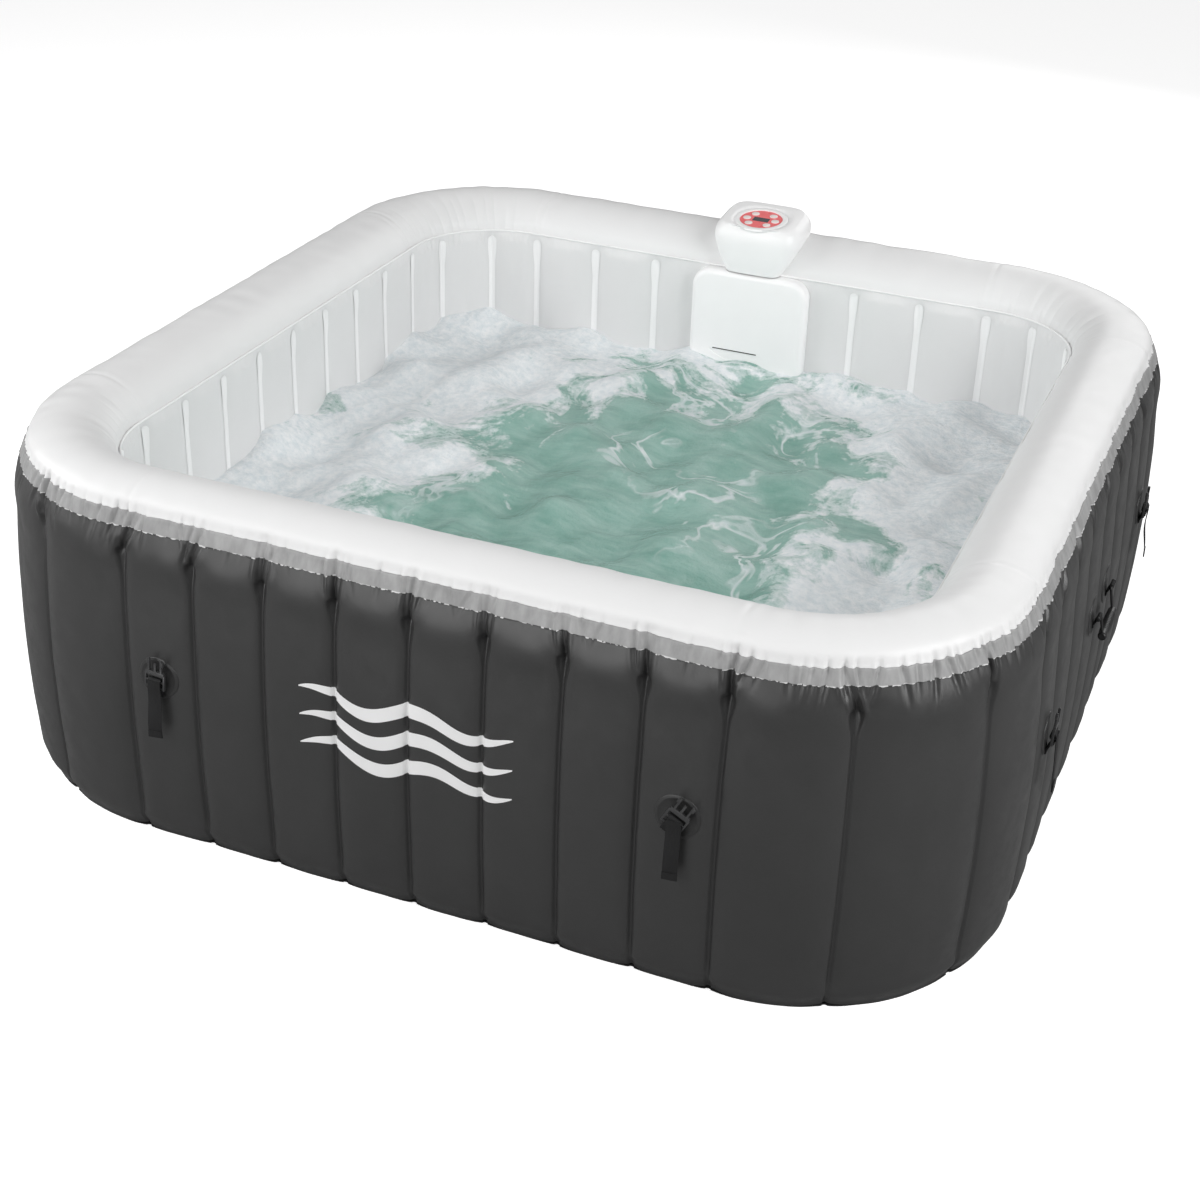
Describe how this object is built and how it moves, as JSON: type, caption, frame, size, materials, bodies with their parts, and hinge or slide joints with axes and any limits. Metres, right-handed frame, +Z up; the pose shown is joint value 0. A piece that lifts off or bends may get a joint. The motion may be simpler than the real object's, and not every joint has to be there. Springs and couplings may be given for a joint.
{
  "type": "inflatable hot tub",
  "caption": "Square inflatable hot tub with rounded corners, quilted outer wall, soft white rim and a built-in heater, filter and bubble unit with a round button panel on the rim.",
  "frame": {"origin": "centre of the pool's plan, on the ground", "axes": "+Z up, -Y towards the front wall, +Y towards the wall that holds the control unit, +X to the right when facing the front"},
  "size_m": [1.904, 1.928, 0.6966],
  "materials": {
    "charcoal_pvc": "laminated PVC skin with a faint horizontal grain",
    "white_pvc": "smooth satin PVC",
    "grey_pvc": "smooth satin PVC",
    "tape": "wrinkled welded tape",
    "web": "woven polyester reinforced PVC",
    "black_plastic": "moulded nylon, satin",
    "patch": "welded PVC patch",
    "webbing": "woven polypropylene webbing",
    "cover_plastic": "textured moulding",
    "white_plastic": "moulded, fine satin gloss",
    "panel_red": "printed membrane sheet",
    "display": "smoked window",
    "button_white": "moulded button",
    "board": "circuit board",
    "metal": "stainless",
    "motor": "glass-filled moulding",
    "impeller": "moulded impeller",
    "filter_paper": "pleated filter fabric",
    "hose": "flexible hose",
    "red_plastic": "moulded"
  },
  "bodies": {
    "tub": {"outer_wall": "charcoal_pvc", "top_rim": "white_pvc", "rim_seam_tape": "tape", "inner_wall": "grey_pvc", "floor_liner": "grey_pvc", "base_sheet": "charcoal_pvc", "wall_webs": "web", "bubble_channel": "white_pvc", "unit_sleeve": "web", "wall_patches": "patch", "air_valve_body": "black_plastic", "drain_fitting": "black_plastic", "unit_case": "white_plastic", "inner_panel": "white_plastic", "rear_cover": "cover_plastic", "cover_screws": "metal", "head_cover": "white_plastic", "head_base": "white_plastic", "panel_bezel": "white_plastic", "panel_overlay": "panel_red", "display_window": "display", "control_board": "board", "circulation_pump": "motor", "air_blower": "motor", "heater_tube": "metal", "internal_hoses": "hose", "power_cord": "hose", "power_plug": "black_plastic"},
    "buckle_1": {"buckle_1": "black_plastic"},
    "strap_1": {"strap_1": "webbing"},
    "buckle_2": {"buckle_2": "black_plastic"},
    "strap_2": {"strap_2": "webbing"},
    "buckle_3": {"buckle_3": "black_plastic"},
    "strap_3": {"strap_3": "webbing"},
    "buckle_4": {"buckle_4": "black_plastic"},
    "strap_4": {"strap_4": "webbing"},
    "buckle_5": {"buckle_5": "black_plastic"},
    "strap_5": {"strap_5": "webbing"},
    "buckle_6": {"buckle_6": "black_plastic"},
    "strap_6": {"strap_6": "webbing"},
    "buckle_7": {"buckle_7": "black_plastic"},
    "strap_7": {"strap_7": "webbing"},
    "buckle_8": {"buckle_8": "black_plastic"},
    "strap_8": {"strap_8": "webbing"},
    "handle_left": {"handle_left": "black_plastic"},
    "handle_right": {"handle_right": "black_plastic"},
    "air_valve_cap": {"air_valve_cap": "black_plastic"},
    "drain_cap": {"drain_cap": "black_plastic"},
    "drain_plug": {"drain_plug": "white_plastic"},
    "filter_cartridge": {"filter_cartridge": "filter_paper"},
    "filter_cap": {"filter_cap": "white_plastic"},
    "button_heat": {"button_heat": "button_white"},
    "button_filter": {"button_filter": "button_white"},
    "button_bubbles": {"button_bubbles": "button_white"},
    "button_up": {"button_up": "button_white"},
    "button_down": {"button_down": "button_white"},
    "button_timer": {"button_timer": "button_white"},
    "plug_test_button": {"plug_test_button": "red_plastic"},
    "pump_impeller": {"pump_impeller": "impeller"},
    "blower_impeller": {"blower_impeller": "impeller"}
  },
  "joints": [
    {"name": "buckle_1_flip", "type": "hinge", "parent": "tub", "child": "buckle_1", "pos_m": [-0.455, -0.9335, 0.322], "axis": [0.9962, 0, -0.0872], "range_deg": [0, 90]},
    {"name": "strap_1_hang", "type": "hinge", "parent": "buckle_1", "child": "strap_1", "pos_m": [-0.45395, -0.9335, 0.33395], "axis": [0.9962, 0, -0.0872], "range_deg": [-90, 0]},
    {"name": "buckle_2_flip", "type": "hinge", "parent": "tub", "child": "buckle_2", "pos_m": [0.455, -0.9335, 0.322], "axis": [0.8829, 0, -0.4695], "range_deg": [0, 90]},
    {"name": "strap_2_hang", "type": "hinge", "parent": "buckle_2", "child": "strap_2", "pos_m": [0.46063, -0.9335, 0.33259], "axis": [0.8829, 0, -0.4695], "range_deg": [-90, 0]},
    {"name": "buckle_3_flip", "type": "hinge", "parent": "tub", "child": "buckle_3", "pos_m": [0.9335, -0.455, 0.322], "axis": [0, 0.9903, -0.1392], "range_deg": [0, 90]},
    {"name": "strap_3_hang", "type": "hinge", "parent": "buckle_3", "child": "strap_3", "pos_m": [0.9335, -0.45333, 0.33388], "axis": [0, 0.9903, -0.1392], "range_deg": [-90, 0]},
    {"name": "buckle_4_flip", "type": "hinge", "parent": "tub", "child": "buckle_4", "pos_m": [0.9335, 0.455, 0.322], "axis": [0, 0.9877, 0.1564], "range_deg": [0, 90]},
    {"name": "strap_4_hang", "type": "hinge", "parent": "buckle_4", "child": "strap_4", "pos_m": [0.9335, 0.45312, 0.33385], "axis": [0, 0.9877, 0.1564], "range_deg": [-90, 0]},
    {"name": "buckle_5_flip", "type": "hinge", "parent": "tub", "child": "buckle_5", "pos_m": [0.455, 0.9335, 0.322], "axis": [-0.9781, 0, -0.2079], "range_deg": [0, 90]},
    {"name": "strap_5_hang", "type": "hinge", "parent": "buckle_5", "child": "strap_5", "pos_m": [0.4525, 0.9335, 0.33374], "axis": [-0.9781, 0, -0.2079], "range_deg": [-90, 0]},
    {"name": "buckle_6_flip", "type": "hinge", "parent": "tub", "child": "buckle_6", "pos_m": [-0.455, 0.9335, 0.322], "axis": [-0.9848, 0, 0.1736], "range_deg": [0, 90]},
    {"name": "strap_6_hang", "type": "hinge", "parent": "buckle_6", "child": "strap_6", "pos_m": [-0.45292, 0.9335, 0.33382], "axis": [-0.9848, 0, 0.1736], "range_deg": [-90, 0]},
    {"name": "buckle_7_flip", "type": "hinge", "parent": "tub", "child": "buckle_7", "pos_m": [-0.9335, 0.455, 0.322], "axis": [0, -0.9945, -0.1045], "range_deg": [0, 90]},
    {"name": "strap_7_hang", "type": "hinge", "parent": "buckle_7", "child": "strap_7", "pos_m": [-0.9335, 0.45375, 0.33393], "axis": [0, -0.9945, -0.1045], "range_deg": [-90, 0]},
    {"name": "buckle_8_flip", "type": "hinge", "parent": "tub", "child": "buckle_8", "pos_m": [-0.9335, -0.455, 0.322], "axis": [0, -0.9781, 0.2079], "range_deg": [0, 90]},
    {"name": "strap_8_hang", "type": "hinge", "parent": "buckle_8", "child": "strap_8", "pos_m": [-0.9335, -0.4525, 0.33374], "axis": [0, -0.9781, 0.2079], "range_deg": [-90, 0]},
    {"name": "handle_left_swing", "type": "hinge", "parent": "tub", "child": "handle_left", "pos_m": [-0.9335, 0, 0.352], "axis": [0, 1, 0], "range_deg": [0, 110]},
    {"name": "handle_right_swing", "type": "hinge", "parent": "tub", "child": "handle_right", "pos_m": [0.9335, 0, 0.352], "axis": [0, -1, 0], "range_deg": [0, 110]},
    {"name": "air_valve_cap_lift", "type": "slide", "parent": "tub", "child": "air_valve_cap", "axis": [0, 1, 0], "range_m": [0, 0.06]},
    {"name": "drain_cap_lift", "type": "slide", "parent": "tub", "child": "drain_cap", "axis": [0, 1, 0], "range_m": [0, 0.06]},
    {"name": "drain_plug_pull", "type": "slide", "parent": "tub", "child": "drain_plug", "axis": [0, -1, 0], "range_m": [0, 0.06]},
    {"name": "filter_pull", "type": "slide", "parent": "tub", "child": "filter_cartridge", "axis": [0, -1, 0], "range_m": [0, 0.14]},
    {"name": "filter_cap_twist", "type": "hinge", "parent": "filter_cartridge", "child": "filter_cap", "pos_m": [-0.058, 0.702, 0.232], "axis": [0, -1, 0], "range_deg": [0, 40]},
    {"name": "button_heat_press", "type": "slide", "parent": "tub", "child": "button_heat", "axis": [0, 0.1045, -0.9945], "range_m": [0, 0.0008]},
    {"name": "button_filter_press", "type": "slide", "parent": "tub", "child": "button_filter", "axis": [0, 0.1045, -0.9945], "range_m": [0, 0.0008]},
    {"name": "button_bubbles_press", "type": "slide", "parent": "tub", "child": "button_bubbles", "axis": [0, 0.1045, -0.9945], "range_m": [0, 0.0008]},
    {"name": "button_up_press", "type": "slide", "parent": "tub", "child": "button_up", "axis": [0, 0.1045, -0.9945], "range_m": [0, 0.0008]},
    {"name": "button_down_press", "type": "slide", "parent": "tub", "child": "button_down", "axis": [0, 0.1045, -0.9945], "range_m": [0, 0.0008]},
    {"name": "button_timer_press", "type": "slide", "parent": "tub", "child": "button_timer", "axis": [0, 0.1045, -0.9945], "range_m": [0, 0.0008]},
    {"name": "plug_test_press", "type": "slide", "parent": "tub", "child": "plug_test_button", "axis": [0, 0, -1], "range_m": [0, 0.0015]},
    {"name": "pump_spin", "type": "hinge", "parent": "tub", "child": "pump_impeller", "pos_m": [0.066, 0.851, 0.232], "axis": [1, 0, 0], "continuous": true},
    {"name": "blower_spin", "type": "hinge", "parent": "tub", "child": "blower_impeller", "pos_m": [-0.076, 0.766, 0.356], "axis": [0, 1, 0], "continuous": true}
  ],
  "couplings": [
    {"joint": "strap_1_hang", "follows": "buckle_1_flip", "ratio": -1},
    {"joint": "strap_2_hang", "follows": "buckle_2_flip", "ratio": -1},
    {"joint": "strap_3_hang", "follows": "buckle_3_flip", "ratio": -1},
    {"joint": "strap_4_hang", "follows": "buckle_4_flip", "ratio": -1},
    {"joint": "strap_5_hang", "follows": "buckle_5_flip", "ratio": -1},
    {"joint": "strap_6_hang", "follows": "buckle_6_flip", "ratio": -1},
    {"joint": "strap_7_hang", "follows": "buckle_7_flip", "ratio": -1},
    {"joint": "strap_8_hang", "follows": "buckle_8_flip", "ratio": -1}
  ]
}
